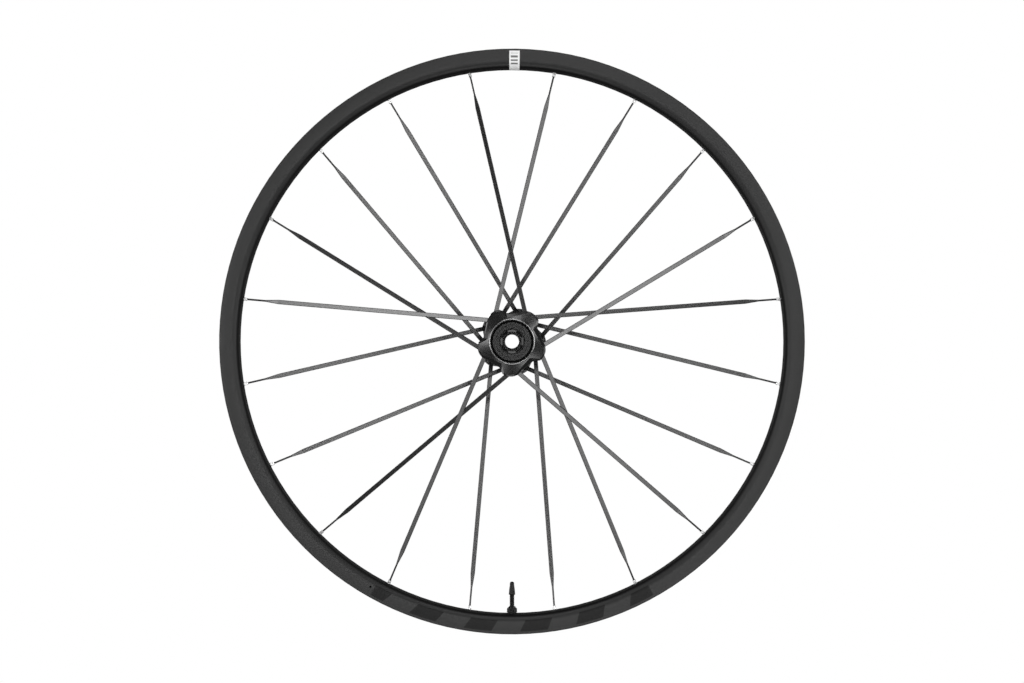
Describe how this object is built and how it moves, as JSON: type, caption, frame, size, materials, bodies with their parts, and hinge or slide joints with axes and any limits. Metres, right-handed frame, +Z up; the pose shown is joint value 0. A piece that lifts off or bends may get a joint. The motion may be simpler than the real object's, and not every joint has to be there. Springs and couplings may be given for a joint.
{
  "type": "bicycle wheel",
  "caption": "Front bicycle wheel: shallow hollow carbon rim, flat straight-pull spokes in paired crossings, lobed disc hub on sealed bearings with a thru-axle bore.",
  "frame": {"origin": "centre of the wheel, on the axle line and in the rim's middle plane", "axes": "+Y along the axle towards the disc side, +Z up with the valve at the bottom, +X forwards as seen from the plain side"},
  "size_m": [0.6339, 0.11, 0.634],
  "materials": {
    "rim_carbon": "matte clear-coated carbon laminate",
    "spoke_carbon": "satin pultruded carbon blade",
    "hub_black": "fine-blasted black anodised aluminium",
    "cap_black": "turned black anodised aluminium",
    "axle_alloy": "turned aluminium tube",
    "nipple_alloy": "bright silver aluminium",
    "bearing_steel": "ground bearing steel",
    "seal_rubber": "black nitrile rubber",
    "tape": "thin sealing tape, satin black",
    "valve_metal": "black anodised threaded aluminium",
    "core_brass": "machined brass",
    "cap_plastic": "moulded black plastic"
  },
  "bodies": {
    "axle": {"axle_tube": "axle_alloy", "end_cap_right": "cap_black", "end_cap_left": "cap_black", "end_cap_o_rings": "seal_rubber", "bearing_right_inner_race": "bearing_steel", "bearing_left_inner_race": "bearing_steel"},
    "wheel": {"rim": "rim_carbon", "rim_tape": "tape", "spoke_nipples": "nipple_alloy", "hub_shell": "hub_black", "bearing_right_outer_race": "bearing_steel", "bearing_right_seals": "seal_rubber", "bearing_left_outer_race": "bearing_steel", "bearing_left_seals": "seal_rubber", "valve_stem": "valve_metal", "valve_foot": "seal_rubber", "valve_nut": "valve_metal", "valve_nut_ring": "seal_rubber", "valve_core": "core_brass", "spoke_01": "spoke_carbon", "spoke_02": "spoke_carbon", "spoke_03": "spoke_carbon", "spoke_04": "spoke_carbon", "spoke_05": "spoke_carbon", "spoke_06": "spoke_carbon", "spoke_07": "spoke_carbon", "spoke_08": "spoke_carbon", "spoke_09": "spoke_carbon", "spoke_10": "spoke_carbon", "spoke_11": "spoke_carbon", "spoke_12": "spoke_carbon", "spoke_13": "spoke_carbon", "spoke_14": "spoke_carbon", "spoke_15": "spoke_carbon", "spoke_16": "spoke_carbon", "spoke_17": "spoke_carbon", "spoke_18": "spoke_carbon", "spoke_19": "spoke_carbon", "spoke_20": "spoke_carbon"},
    "valve_cap": {"valve_cap": "cap_plastic"}
  },
  "joints": [
    {"name": "wheel_spin", "type": "hinge", "parent": "axle", "child": "wheel", "pos_m": [0, 0, 0], "axis": [0, 1, 0], "continuous": true},
    {"name": "valve_cap_pull", "type": "slide", "parent": "wheel", "child": "valve_cap", "axis": [0, 0, 1], "range_m": [0, 0.02]}
  ]
}
